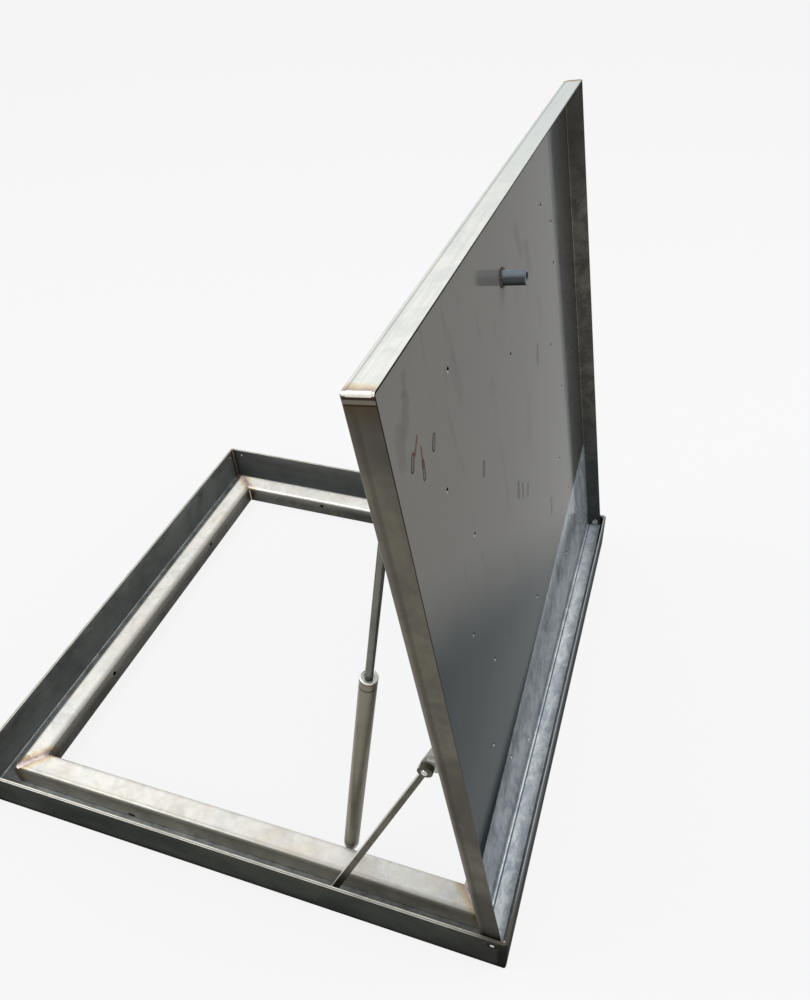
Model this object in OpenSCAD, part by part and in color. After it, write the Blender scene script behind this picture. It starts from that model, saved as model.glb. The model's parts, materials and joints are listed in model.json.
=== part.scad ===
// Recessed access cover in stainless sheet: a square frame with a box tube ledge
// and a hinged lid tray, held up by two gas struts and a stay bar.
// Origin: middle of the frame's underside. The hinge side is +X, the front is -Y.

/* [Frame] */
// Outer side of the square frame
frame_size = 860; // [700:10:1100]
// Height of the upstand
frame_h = 78; // [72:1:110]
// Sheet thickness of the upstand and its ledge
frame_t = 4; // [3:0.5:5]
// Inner radius of the fold at the foot of the upstand
fold_r = 4; // [2:0.5:8]
// Rounding of the frame's upright outer corners
corner_r = 6; // [1:0.5:8]
// Side of the square box tube
tube_w = 40; // [30:1:44]
// Wall of the box tube
tube_t = 2.5; // [1.5:0.5:4]
// Outer corner radius of the box tube
tube_r = 7; // [4.5:0.5:9]
// Distance from the frame's outer face to the box tube
tube_inset = 39; // [34:1:60]
// Radius of the weld bead in each inner corner
bead_r = 3; // [1:0.5:3]
// Diameter of the small drain holes in the upstand
drain_d = 6; // [2:0.5:8]
// Distance of the drain hole in the far upstand from the frame's corner
drain_far_in = 25; // [16:1:60]
// Distance of the drain hole in the free side's upstand from the frame's corner
drain_free_in = 18; // [16:1:60]
// Distance of the drain holes below the top of the frame
drain_drop = 14; // [10:1:20]
// Diameter of the fixing holes in the box tube's inner wall
tube_hole_d = 8; // [4:0.5:12]
// Distance of the fixing holes from the middle of each side
tube_hole_at = 174; // [160:1:176]
// Height of the fixing holes above the frame's underside
tube_hole_h = 27; // [26:1:29]
// Length of the drain slot in the box tube's outer wall
slot_len = 11; // [6:0.5:16]
// Height of the drain slot
slot_h = 4.5; // [2:0.5:6]
// Distance of the drain slot from the middle of the near side
slot_at = 177; // [100:1:240]
// Height of the drain slot's lower edge above the frame's underside
slot_low = 6; // [5:0.5:9]

/* [Lid tray] */
// Gap between the lid's walls and the upstand
lid_gap = 2.2; // [2:0.1:4]
// Sheet thickness of the tray
lid_t = 2; // [1:0.5:2.5]
// Outer radius of the tray's folds
lid_r = 3.2; // [3:0.1:5]
// How far the closed rim lies below the top of the frame
rim_drop = 2.5; // [1:0.5:6]
// Angle at which the lid stands open
lid_angle = 82.2; // [60:0.1:88]
// Diameter of the weld holes in the tray's base
weld_hole_d = 6; // [3:0.5:10]
// Spacing of the weld holes along a rib
weld_hole_pitch = 104.8; // [80:0.1:120]
// Distance of the weld holes from the middle line of their rib
weld_hole_off = 27; // [20:0.5:30]
// Length of the lifting socket
key_len = 29; // [20:1:40]
// Outer diameter of the lifting socket
key_d = 18; // [14:0.5:26]
// Bore of the lifting socket
key_bore = 12.5; // [8:0.5:13]
// Distance of the lifting socket from the lid's free edge
key_inset = 109; // [80:1:150]
// Leg of the weld ring round the lifting socket
key_weld = 2; // [1:0.5:4]

/* [Ribs and seal] */
// Distance of the outer ribs from the middle of the lid
rib_off = 242; // [190:1:250]
// Width of a rib over its flanges
rib_w = 78; // [68:1:90]
// Width of a rib's crown
rib_crown = 30; // [20:1:34]
// Depth of a rib
rib_depth = 22; // [12:1:26]
// Sheet thickness of a rib
rib_t = 2; // [1:0.5:3]
// Gap between the end of a rib and the box tube, lid closed
rib_gap = 6; // [3:1:20]
// Width of the rubber seal
seal_w = 12; // [8:1:16]
// Height of the rubber seal
seal_h = 7.7; // [5:0.1:9]
// Gap left where one piece rests on another
seat_gap = 0.3; // [0.3:0.1:0.5]

/* [Hinge] */
// Distance from the frame's outer face to the hinge axis
hinge_setback = 20; // [20:0.5:24]
// Depth of the hinge axis below the top of the frame
hinge_drop = 13; // [12:0.5:16]
// Distance from the hinge axis to the back of the lid
hinge_back = 10.5; // [9:0.5:11]
// Diameter of the hinge pin
pin_d = 6; // [4:0.5:8]
// Radial clearance of a pin in its hole
pin_play = 0.05; // [0.02:0.01:0.09]
// Outer diameter of the hinge bush
bush_d = 9.6; // [9:0.1:12]

/* [Gas struts] */
// Diameter of the strut's cylinder
cyl_d = 22; // [20:1:24]
// Wall of the strut's cylinder
cyl_t = 2; // [1:0.5:3]
// Length of the strut's cylinder
cyl_len = 428; // [340:1:430]
// Diameter of the piston rod
rod_d = 10; // [8:1:12]
// Gap between the box tube and the side of the cylinder
cyl_gap = 0.8; // [0.5:0.1:3]
// Distance of the lower joint from the middle of the frame
strut_low = 172; // [160:1:176]
// Height of the lower joint above the frame's underside
strut_low_h = 16; // [14:1:20]
// Distance of the upper joint from the lid's free edge
strut_up = 129.8; // [126:0.1:136]
// Distance of the upper joint below the tray
strut_up_drop = 16.4; // [14:0.1:20]
// Diameter of the ball in the lower joint
ball_d = 10; // [8:0.5:10]
// Radial play of the ball in its socket
ball_play = 0.08; // [0.04:0.01:0.1]
// Length of the fitting between the ball and the cylinder
low_len = 8; // [7.5:0.5:14]
// Length of the fitting between the rod and its eye
fitting_len = 14; // [12:0.5:20]

/* [Stay bar] */
// Distance of the stay's pivot from the hinge axis, along the lid
stay_u = 350; // [320:1:370]
// Distance of the stay's pivot below the tray
stay_drop = 22; // [20:0.5:28]
// Lean of the stay from the upright
stay_lean = 21.5; // [18:0.1:26]
// Thickness of the stay
stay_t = 6.5; // [5:0.5:12]
// Width of the stay at its pivot
stay_w_top = 6.5; // [6:0.5:10]
// Width of the stay at its foot
stay_w_foot = 10; // [8:0.5:14]
// Diameter of the stay's eye
stay_eye_d = 18; // [12:0.5:20]
// Diameter of the domed head of the stay's pivot
stay_head_d = 9; // [8.5:0.5:14]

/* [Brackets] */
// Thickness of the bracket plates on the lid
tab_t = 4; // [3:0.5:6]
// Radius of the bracket plates round their pivot
tab_r = 8; // [7:0.5:10]
// Length of a bracket plate along the lid
tab_len = 52; // [40:1:70]
// Length of the stay's bracket plate along the lid
stay_tab_len = 62; // [50:1:70]
// Distance of the stiffening lip from the stay's pivot
lip_off = 17; // [15:0.5:24]
// Thickness of the stiffening lip, and how far it stands out
lip_t = 3; // [2:0.5:4]

/* [Hidden] */
$fn = 48;
e = 1;
half = frame_size / 2;
// inner face of the upstand, and both faces of the box tube, from the middle
up_in = half - frame_t;
tube_out = half - tube_inset;
tube_in = tube_out - tube_w;
// hinge axis
hinge_x = half - hinge_setback;
hinge_z = frame_h - hinge_drop;
// tray, measured from the hinge axis with the lid closed
rim_z = hinge_drop - rim_drop;
// depth of the tray, outside, from its rim down to the seal on the box tube
lid_depth = frame_h - rim_drop - tube_w - seat_gap - seal_h;
pan_z = rim_z - lid_depth;
pan_free = frame_size - hinge_setback - frame_t - lid_gap;
pan_half = up_in - lid_gap;
rib_start = tube_inset + tube_w - hinge_setback + rib_gap;
rib_end = frame_size - hinge_setback - tube_inset - tube_w - rib_gap;
key_u = pan_free - key_inset;
weld_first = key_u + 5;
// strut joints
strut_y = tube_in - cyl_gap - cyl_d / 2;
up_u = pan_free - strut_up;
up_w = pan_z - strut_up_drop;
up_x = hinge_x - up_u * cos(lid_angle) + up_w * sin(lid_angle);
up_z = hinge_z + up_u * sin(lid_angle) + up_w * cos(lid_angle);
strut_dx = up_x - strut_low;
strut_dz = up_z - strut_low_h;
strut_len = sqrt(strut_dx * strut_dx + strut_dz * strut_dz);
strut_lean = atan2(strut_dx, strut_dz);
cyl_top = low_len + cyl_len;
guide_h = 6;
eye_t = 9;
eye_r = 7.5;
pin_r = pin_d / 2;
// stay, from its pivot on the lid down to the ledge
stay_y = -(up_in + tube_out) / 2;
stay_w = pan_z - stay_drop;
stay_x = hinge_x - stay_u * cos(lid_angle) + stay_w * sin(lid_angle);
stay_z = hinge_z + stay_u * sin(lid_angle) + stay_w * cos(lid_angle);
stay_rise = stay_z - frame_t - seat_gap;
stay_run = stay_rise * tan(stay_lean);

steel = [0.62, 0.63, 0.62];
steel_dark = [0.42, 0.43, 0.42];
chrome = [0.82, 0.82, 0.80];
weld = [0.50, 0.46, 0.42];
rubber = [0.10, 0.10, 0.10];

// flat rectangle with round corners, from its lowest corner
module round_rect(w, h, r) {
  translate([r, 0]) square([w - 2 * r, h]);
  translate([0, r]) square([w, h - 2 * r]);
  for (x = [r, w - r], y = [r, h - r]) translate([x, y]) circle(r = r);
}

// flat rectangle with only its lower corners round
module folded_foot(w, h, r) {
  translate([r, 0]) square([w - 2 * r, h]);
  translate([0, r]) square([w, h - r]);
  for (x = [r, w - r]) translate([x, r]) circle(r = r);
}

// box with folded edges at its foot and round upright corners
module folded_box(x0, y0, z0, w, d, h, r) {
  intersection() {
    translate([x0, y0, z0]) linear_extrude(h) round_rect(w, d, r);
    translate([x0, y0 + d, z0]) rotate([90, 0, 0]) linear_extrude(d) folded_foot(w, h, r);
    translate([x0, y0, z0]) rotate([90, 0, 90]) linear_extrude(w) folded_foot(d, h, r);
  }
}

// outline of the box tube, across the frame's side
module tube_outline() {
  translate([tube_inset, 0]) round_rect(tube_w, tube_w, tube_r);
}

// folded sheet: upstand, fold and ledge, with the ledge fitted to the box tube
module angle_outline() {
  big_r = fold_r + frame_t;
  translate([0, big_r]) square([frame_t, frame_h - big_r]);
  difference() {
    translate([big_r, 0]) square([tube_inset + tube_r - big_r, frame_t]);
    tube_outline();
  }
  intersection() {
    square(big_r);
    difference() {
      translate([big_r, big_r]) circle(r = big_r);
      translate([big_r, big_r]) circle(r = fold_r);
    }
  }
}

// one side of the frame, cut to a mitre at both ends
module mitred_side(turn) {
  rotate([0, 0, turn]) intersection() {
    translate([-half, -half, 0]) rotate([90, 0, 90]) linear_extrude(frame_size) children();
    translate([0, 0, -e]) linear_extrude(frame_h + 2 * e) intersection() {
      polygon([[-half, -half], [half, -half], [0, 0]]);
      translate([-half, -half]) round_rect(frame_size, frame_size, corner_r);
    }
  }
}

module hinge_bore(side) {
  translate([hinge_x, side * (half + e), hinge_z]) rotate([side * 90, 0, 0])
    cylinder(d = bush_d, h = frame_t + 2 * e);
}

module angle_near() {
  color(steel_dark) difference() {
    mitred_side(0) angle_outline();
    hinge_bore(-1);
  }
}

module angle_far() {
  color(steel_dark) difference() {
    mitred_side(180) angle_outline();
    hinge_bore(1);
    translate([-half + drain_far_in, half + e, frame_h - drain_drop]) rotate([90, 0, 0])
      cylinder(d = drain_d, h = frame_t + 2 * e);
  }
}

module angle_free() {
  color(steel_dark) difference() {
    mitred_side(-90) angle_outline();
    translate([-half - e, half - drain_free_in, frame_h - drain_drop]) rotate([0, 90, 0])
      cylinder(d = drain_d, h = frame_t + 2 * e);
  }
}

module angle_hinge() {
  color(steel_dark) mitred_side(90) angle_outline();
}

module tube_side(turn) {
  mitred_side(turn) difference() {
    tube_outline();
    translate([tube_inset + tube_t, tube_t])
      round_rect(tube_w - 2 * tube_t, tube_w - 2 * tube_t, tube_r - tube_t);
  }
}

// fixing hole for a strut, through the box tube's inner wall
module tube_hole(turn, along) {
  rotate([0, 0, turn]) translate([along, -tube_in + e, tube_hole_h]) rotate([90, 0, 0])
    cylinder(d = tube_hole_d, h = tube_t + 2 * e);
}

// one side of the box tube, with the fixing holes that no strut takes up
module drilled_tube(turn, sides) {
  color(steel) difference() {
    tube_side(turn);
    for (side = sides) tube_hole(turn, side * tube_hole_at);
  }
}

// slot that drains the channel between the upstand and the near box tube
module drain_slot() {
  translate([-slot_at - slot_len / 2, -tube_out + tube_t + e, slot_low]) rotate([90, 0, 0])
    linear_extrude(tube_t + 2 * e) round_rect(slot_len, slot_h, slot_h * 0.45);
}

module tube_near() {
  color(steel) difference() {
    drilled_tube(0, [-1]);
    drain_slot();
  }
}
module tube_far() { drilled_tube(180, [1]); }
module tube_free() { drilled_tube(-90, [-1, 1]); }
module tube_hinge() { drilled_tube(90, [-1, 1]); }

// a bead of weld in each inner corner of the upstand
module corner_welds() {
  color(weld) for (a = [0 : 90 : 270]) rotate([0, 0, a])
    translate([-up_in, -up_in, frame_t + fold_r]) intersection() {
      cylinder(r = bead_r, h = frame_h - frame_t - fold_r - e);
      translate([0, 0, -e]) cube([bead_r + e, bead_r + e, frame_h]);
    }
}

// bush pressed into the upstand, with a flange that spaces the lid
module bush(side) {
  flange = lid_gap - seat_gap;
  color(steel_dark) translate([hinge_x, side * half, hinge_z]) rotate([side * 90, 0, 0]) difference() {
    union() {
      cylinder(d = bush_d, h = frame_t);
      translate([0, 0, frame_t]) cylinder(d = bush_d + 4, h = flange);
    }
    translate([0, 0, -e]) cylinder(r = pin_r + pin_play, h = frame_t + flange + 2 * e);
  }
}

module bush_near() { bush(-1); }
module bush_far() { bush(1); }

// ball stud on the inner wall of the box tube
module stud(side) {
  flange = 3;
  reach = tube_in - strut_y;
  color(chrome) translate([strut_low, side * strut_y, strut_low_h]) {
    sphere(d = ball_d);
    rotate([-side * 90, 0, 0]) cylinder(r = ball_d * 0.3, h = reach);
    translate([0, side * (reach - flange), 0]) rotate([-side * 90, 0, 0])
      cylinder(r = ball_d * 0.6, h = flange);
  }
}

module stud_near() { stud(-1); }
module stud_far() { stud(1); }

// what follows is placed from the hinge axis with the lid closed, free edge at -X
module on_lid() {
  translate([hinge_x, 0, hinge_z]) rotate([0, lid_angle, 0]) children();
}

module weld_hole(u, y) {
  translate([-u, y, pan_z - e]) cylinder(d = weld_hole_d, h = lid_t + 2 * e);
}

module lid_pan() {
  color(steel) on_lid() difference() {
    folded_box(-pan_free, -pan_half, pan_z, pan_free + hinge_back, 2 * pan_half, lid_depth, lid_r);
    folded_box(-pan_free + lid_t, -pan_half + lid_t, pan_z + lid_t,
      pan_free + hinge_back - 2 * lid_t, 2 * pan_half - 2 * lid_t, lid_depth, lid_r - lid_t);
    for (i = [0 : 6], side = [-1, 1])
      weld_hole(weld_first - i * weld_hole_pitch,
        side * (rib_off + (i % 2 == 0 ? -weld_hole_off : weld_hole_off)));
    for (i = [1, 5]) weld_hole(weld_first - i * weld_hole_pitch, 0);
    for (side = [-1, 1]) weld_hole(rib_start / 2 - 6, side * weld_hole_pitch * 1.25);
    weld_hole(weld_first - weld_hole_pitch * 0.42, rib_off + weld_hole_off + 3);
    for (side = [-1, 1]) translate([0, side * (pan_half + e), 0]) rotate([side * 90, 0, 0])
      cylinder(d = pin_d, h = lid_t + 2 * e);
  }
}

// rib folded to a hat section, flanges against the tray
module rib_outline() {
  for (side = [0, 1]) mirror([side, 0]) {
    translate([rib_crown / 2 - rib_t, -rib_t]) square([rib_w / 2 - rib_crown / 2 + rib_t, rib_t]);
    translate([rib_crown / 2 - rib_t, -rib_depth]) square([rib_t, rib_depth]);
  }
  translate([-rib_crown / 2, -rib_depth]) square([rib_crown, rib_t]);
}

module rib(y) {
  color(steel_dark) on_lid() translate([-rib_end, y, pan_z]) rotate([90, 0, 90])
    linear_extrude(rib_end - rib_start) rib_outline();
}

module rib_near() { rib(-rib_off); }
module rib_mid() { rib(0); }
module rib_far() { rib(rib_off); }

// rubber strip under the tray with a round lower edge, laid over the box tube
module seal(len) {
  r = seal_h * seal_w / (seal_h + seal_w) / 2;
  translate([0, 0, pan_z]) rotate([90, 0, 90]) linear_extrude(len)
    translate([-seal_w / 2, -seal_h]) folded_foot(seal_w, seal_h, r);
}

seal_mid = tube_inset + tube_w / 2;
seal_near_y = half - seal_mid;
seal_free_x = -(frame_size - hinge_setback - seal_mid);
seal_hinge_x = hinge_setback - seal_mid;

module seal_long(side) {
  color(rubber) on_lid() translate([seal_free_x - seal_w / 2, side * seal_near_y, 0])
    seal(seal_hinge_x - seal_free_x + seal_w);
}

module seal_cross(x) {
  color(rubber) on_lid() translate([x, -seal_near_y + seal_w / 2, 0]) rotate([0, 0, 90])
    seal(2 * seal_near_y - seal_w);
}

module seal_near() { seal_long(-1); }
module seal_far() { seal_long(1); }
module seal_free() { seal_cross(seal_free_x); }
module seal_hinge() { seal_cross(seal_hinge_x); }

module key_tube() {
  color(steel) on_lid() translate([-key_u, 0, pan_z + lid_t]) difference() {
    cylinder(d = key_d, h = key_len);
    translate([0, 0, -e]) cylinder(d = key_bore, h = key_len + 2 * e);
  }
}

module key_ring() {
  color(weld) on_lid() translate([-key_u, 0, pan_z + lid_t]) rotate_extrude()
    polygon([[key_d / 2, 0], [key_d / 2 + key_weld, 0], [key_d / 2, key_weld]]);
}

// hinge pin through the tray's wall, with its head inside the tray
module pin(side) {
  head = 3;
  color(chrome) on_lid() translate([0, side * pan_half, 0]) rotate([-side * 90, 0, 0]) {
    translate([0, 0, -lid_t]) cylinder(d = pin_d, h = lid_t + lid_gap + frame_t);
    translate([0, 0, -lid_t - head]) cylinder(d = pin_d * 1.8, h = head);
  }
}

module pin_near() { pin(-1); }
module pin_far() { pin(1); }

// bracket plate under the tray: a gusset towards the free edge, with a hole for the pivot
module tab_outline(drop, run) {
  difference() {
    union() {
      polygon([[tab_r, 0], [tab_r - run, 0], [-tab_r * 0.55, -drop - tab_r * 0.83], [tab_r, -drop]]);
      translate([0, -drop]) circle(r = tab_r);
    }
    translate([0, -drop]) circle(d = pin_d);
  }
}

module tab(u, y, drop, run) {
  color(steel) on_lid() translate([-u, y + tab_t / 2, pan_z]) rotate([90, 0, 0])
    linear_extrude(tab_t) tab_outline(drop, run);
}

strut_tab_y = strut_y - eye_t / 2 - seat_gap - tab_t / 2;
module strut_tab_near() { tab(up_u, -strut_tab_y, strut_up_drop, tab_len); }
module strut_tab_far() { tab(up_u, strut_tab_y, strut_up_drop, tab_len); }

stay_tab_y = stay_y + stay_t / 2 + seat_gap + tab_t / 2;
// the lip ends just above the stay when the lid is shut
lip_h = stay_drop - stay_w_top / 2 - seat_gap - 1;
module stay_tab() {
  tab(stay_u, stay_tab_y, stay_drop, stay_tab_len);
  color(steel) on_lid() translate([-stay_u - lip_off - lip_t, stay_tab_y - tab_t / 2 - lip_t, pan_z - lip_h])
    cube([lip_t, lip_t + tab_t / 2, lip_h]);
}

// pivot of the stay, with a domed head outside
module stay_pin() {
  len = stay_t + 2 * seat_gap + tab_t;
  color(chrome) on_lid() translate([-stay_u, stay_tab_y + tab_t / 2, stay_w]) rotate([90, 0, 0]) {
    cylinder(d = pin_d, h = len);
    translate([0, 0, len]) intersection() {
      translate([0, 0, -1.5]) sphere(r = stay_head_d / 2);
      cylinder(r = stay_head_d / 2, h = stay_head_d);
    }
  }
}

// flat bar that widens to its foot, cut level where it stands on the ledge
module stay_bar() {
  wt = stay_w_top / 2 / cos(stay_lean);
  wf = stay_w_foot / 2 / cos(stay_lean);
  color(steel_dark) translate([stay_x, stay_y + stay_t / 2, stay_z]) rotate([90, 0, 0])
    linear_extrude(stay_t) difference() {
      union() {
        circle(d = stay_eye_d);
        polygon([[-wt, 0], [-wf - stay_run, -stay_rise], [wf - stay_run, -stay_rise], [wt, 0]]);
      }
      circle(r = pin_r + pin_play);
    }
}

// what follows stands on the strut's line, lower joint at the origin
module on_strut(side) {
  translate([strut_low, side * strut_y, strut_low_h]) rotate([0, strut_lean, 0]) children();
}

module cyl(side) {
  r = cyl_d / 2;
  g = 16;
  color(steel_dark) on_strut(side) rotate_extrude() polygon([[0, low_len],
    [r * 0.62, low_len], [r * 0.82, low_len + 2], [r * 0.94, low_len + 4.5], [r, low_len + 8],
    [r, cyl_top - g], [r - 0.6, cyl_top - g + 0.6], [r - 0.6, cyl_top - g + 1.4], [r, cyl_top - g + 2],
    [r, cyl_top - cyl_t * 0.5], [r - cyl_t * 0.15, cyl_top - cyl_t * 0.15], [r - cyl_t * 0.5, cyl_top],
    [r - cyl_t, cyl_top], [r - cyl_t, low_len + 11], [0, low_len + 11]]);
}

module cyl_near() { cyl(-1); }
module cyl_far() { cyl(1); }

// ball socket on the cylinder, open towards the box tube
module socket(side) {
  color(chrome) on_strut(side) difference() {
    union() {
      sphere(d = ball_d + 4);
      cylinder(r = ball_d * 0.55, h = low_len);
    }
    sphere(r = ball_d / 2 + ball_play);
    rotate([-side * 90, 0, 0]) cylinder(r = ball_d * 0.44, h = ball_d);
  }
}

module socket_near() { socket(-1); }
module socket_far() { socket(1); }

// guide that closes the top of the cylinder round the rod
module guide(side) {
  r = cyl_d / 2 - cyl_t;
  color(chrome) on_strut(side) translate([0, 0, cyl_top - guide_h]) difference() {
    cylinder(r = r, h = guide_h - 1);
    translate([0, 0, -e]) cylinder(r = rod_d / 2 + pin_play, h = guide_h + e);
    translate([0, 0, guide_h - 2.5]) cylinder(r = rod_d / 2 + 1.6, h = guide_h);
  }
}

module guide_near() { guide(-1); }
module guide_far() { guide(1); }

// piston rod with its piston inside the cylinder
module rod(side) {
  foot = cyl_top - guide_h - 16;
  piston = 8;
  color(steel_dark) on_strut(side) {
    translate([0, 0, foot]) cylinder(r = cyl_d / 2 - cyl_t - pin_play, h = piston);
    translate([0, 0, foot]) cylinder(d = rod_d, h = strut_len - fitting_len - foot);
  }
}

module rod_near() { rod(-1); }
module rod_far() { rod(1); }

// flat eye on the rod
module eye(side) {
  color(chrome) on_strut(side) translate([0, 0, strut_len]) difference() {
    union() {
      rotate([90, 0, 0]) cylinder(r = eye_r, h = eye_t, center = true);
      translate([0, 0, -fitting_len]) cylinder(d = eye_t, h = fitting_len);
    }
    rotate([90, 0, 0]) cylinder(d = pin_d, h = eye_t + 2 * e, center = true);
  }
}

module eye_near() { eye(-1); }
module eye_far() { eye(1); }

// pin in the rod's eye, with its head on the side of the box tube
module eye_pin(side) {
  head = 2;
  color(chrome) on_strut(side) translate([0, 0, strut_len]) rotate([side * 90, 0, 0]) {
    translate([0, 0, -eye_t / 2]) cylinder(d = pin_d, h = eye_t);
    translate([0, 0, -eye_t / 2 - head]) cylinder(d = pin_d * 1.6, h = head);
  }
}

module eye_pin_near() { eye_pin(-1); }
module eye_pin_far() { eye_pin(1); }

angle_near();
angle_far();
angle_free();
angle_hinge();
tube_near();
tube_far();
tube_free();
tube_hinge();
corner_welds();
bush_near();
bush_far();
stud_near();
stud_far();
lid_pan();
rib_near();
rib_mid();
rib_far();
seal_near();
seal_far();
seal_free();
seal_hinge();
key_tube();
key_ring();
pin_near();
pin_far();
strut_tab_near();
strut_tab_far();
stay_tab();
stay_pin();
stay_bar();
cyl_near();
socket_near();
guide_near();
rod_near();
eye_near();
eye_pin_near();
cyl_far();
socket_far();
guide_far();
rod_far();
eye_far();
eye_pin_far();
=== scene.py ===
import json
import math

import bmesh
import bpy
from mathutils import Matrix, Vector


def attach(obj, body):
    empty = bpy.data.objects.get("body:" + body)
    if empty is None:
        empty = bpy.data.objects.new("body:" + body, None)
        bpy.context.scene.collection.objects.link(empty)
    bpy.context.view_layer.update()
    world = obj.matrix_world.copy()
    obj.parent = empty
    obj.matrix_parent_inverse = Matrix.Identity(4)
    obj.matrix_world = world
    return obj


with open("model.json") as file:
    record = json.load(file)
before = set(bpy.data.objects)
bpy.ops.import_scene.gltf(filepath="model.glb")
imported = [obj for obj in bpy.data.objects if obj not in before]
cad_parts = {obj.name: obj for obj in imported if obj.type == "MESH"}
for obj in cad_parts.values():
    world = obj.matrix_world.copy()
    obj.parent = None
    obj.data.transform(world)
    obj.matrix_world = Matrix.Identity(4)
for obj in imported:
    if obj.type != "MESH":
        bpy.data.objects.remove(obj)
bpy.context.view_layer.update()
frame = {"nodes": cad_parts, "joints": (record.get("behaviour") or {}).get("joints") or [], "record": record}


# Sizes and places, in metres

def joint(name):
    """One of the part's joints."""
    return next(entry for entry in frame["joints"] if entry["name"] == name)


def span(node, direction, start=Vector((0, 0, 0))):
    """How far a node reaches back and forth along a direction from start, to a tenth of a millimetre."""
    reach = [(point.co - start).dot(direction) for point in frame["nodes"][node].data.vertices]
    return round(min(reach), 4), round(max(reach), 4)


ACROSS, UPWARDS = Vector((0, 1, 0)), Vector((0, 0, 1))

# the frame: folded sheet round a square of box tube
HALF_FRAME = -span("angle_near", ACROSS)[0]
UPSTAND_TOP = span("angle_near", UPWARDS)[1]
TUBE_OUTSIDE = -span("tube_near", ACROSS)[0]
TUBE_INSIDE = -span("tube_near", ACROSS)[1]
TUBE_TOP = span("tube_near", UPWARDS)[1]
TUBE_MIDDLE = (TUBE_OUTSIDE + TUBE_INSIDE) / 2

# the lid: its own directions run from the hinge line to the free edge, and up from the shut lid
HINGE_LINE = Vector(joint("lid_hinge")["pos_m"])
LID_OPEN = math.radians(-joint("lid_hinge")["range_deg"][0])
LID_ALONG = Vector((-math.cos(LID_OPEN), 0, math.sin(LID_OPEN)))
LID_UPWARDS = Vector((math.sin(LID_OPEN), 0, math.cos(LID_OPEN)))
LID_LENGTH = span("lid_pan", LID_ALONG, HINGE_LINE)[1]
LID_HALF_WIDTH = span("lid_pan", ACROSS, HINGE_LINE)[1]
PAN_RIM = span("lid_pan", LID_UPWARDS, HINGE_LINE)[1]
# the lifting socket stands on the pan's floor
PAN_FLOOR = span("key_tube", LID_UPWARDS, HINGE_LINE)[0]
SOCKET_ALONG = sum(span("key_tube", LID_ALONG, HINGE_LINE)) / 2

# the near strut: its foot, the way it leans, and the top of its cylinder along that way
STRUT_FOOT = Vector(joint("strut_near_pivot")["pos_m"])
STRUT_WAY = Vector(joint("strut_near_slide")["axis"])
CYLINDER_TOP = span("cyl_near", STRUT_WAY, STRUT_FOOT)[1]

# the drain slot in the near tube's outer face, from one end to the other, and how far round them its painted
# shade reaches
SLOT_FROM = (-0.1805, -TUBE_OUTSIDE, 0.0090)
SLOT_TO = (-0.1735, -TUBE_OUTSIDE, 0.0090)
SLOT_SIZE = 0.0034
# the near hinge pin's end in the upstand, and the size of the painted shade of the hole round it
PIN_END = (HINGE_LINE.x, -HALF_FRAME, HINGE_LINE.z)
PIN_SHADE_SIZE = 0.0075
# a rust mark on the tube, at the corner of the near and the free side
RUST_FROM = (-0.387, -0.372, TUBE_TOP)
RUST_TO = (-0.380, -0.369, TUBE_TOP)
RUST_SIZE = 0.006

# the tray floor's painted reflection: where it turns cooler and darker, on a slanting line, and how much
# that line slants
FLOOR_REFLECTION_TURN = (0.20, 0.37)
FLOOR_SLANT = 0.66
# the mottled painted reflection of the hinge wall on the floor beside it: where it ends, and how much that
# line slants
HINGE_REFLECTION_END = 0.148
HINGE_REFLECTION_SLANT = 0.11
# where the greyer painted reflection of the far wall on the floor starts
FAR_REFLECTION_START = 0.286
# how far to either side of such a line its colours turn
LINE_SOFTNESS = 0.003

# colours of the stains on the tray floor, as they look
BROWN, SOOT, SMUDGE, RUST = (54, 38, 27), (44, 41, 38), (94, 92, 89), (92, 64, 46)

# the stains: from and to (along and across the lid), size, colour, how strong, how ragged
FLOOR_MARKS = (
    ((0.701, -0.336), (0.710, -0.330), 0.0042, BROWN, 0.80, 0.9),
    ((0.709, -0.325), (0.720, -0.314), 0.0026, RUST, 0.80, 0.9),
    ((0.706, -0.310), (0.686, -0.313), 0.0024, RUST, 0.85, 0.8),
    ((0.690, -0.312), (0.676, -0.314), 0.0036, BROWN, 0.80, 0.9),
    ((0.686, -0.282), (0.695, -0.277), 0.0042, SOOT, 0.75, 0.9),
    ((0.561, -0.157), (0.571, -0.153), 0.0044, SOOT, 0.75, 0.9),
    ((0.447, -0.030), (0.430, -0.034), 0.0046, SOOT, 0.80, 0.9),
    ((0.430, -0.010), (0.415, -0.014), 0.0042, BROWN, 0.80, 0.9),
    ((0.410, 0.014), (0.398, 0.009), 0.0042, SOOT, 0.70, 0.9),
    ((0.562, 0.134), (0.542, 0.129), 0.0050, SOOT, 0.70, 1.0),
    ((0.287, 0.137), (0.264, 0.133), 0.0052, SOOT, 0.80, 1.0),
    ((0.297, -0.143), (0.279, -0.146), 0.0048, BROWN, 0.85, 1.0),
    ((0.784, -0.316), (0.772, -0.322), 0.0060, SMUDGE, 0.75, 1.8),
    ((0.764, -0.322), (0.742, -0.335), 0.0100, SMUDGE, 0.80, 2.4),
    ((0.745, -0.346), (0.722, -0.352), 0.0120, SMUDGE, 0.70, 2.4),
    ((0.750, 0.078), (0.716, 0.092), 0.0110, SMUDGE, 0.85, 2.4),
    ((0.712, 0.120), (0.680, 0.128), 0.0130, SMUDGE, 0.85, 2.4),
    ((0.620, 0.160), (0.585, 0.170), 0.0100, SMUDGE, 0.60, 2.4),
    ((0.520, 0.060), (0.470, 0.050), 0.0110, SMUDGE, 0.60, 2.4),
    ((0.730, -0.200), (0.690, -0.190), 0.0120, SMUDGE, 0.45, 2.4),
)

# the weld beads' width and height: on the box tube's mitres, down its inner corners, up the tray's corners
MITRE_BEAD = (0.0120, 0.0005)
INSIDE_BEAD = (0.0050, 0.0016)
TRAY_BEAD = (0.0050, 0.0012)
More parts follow.
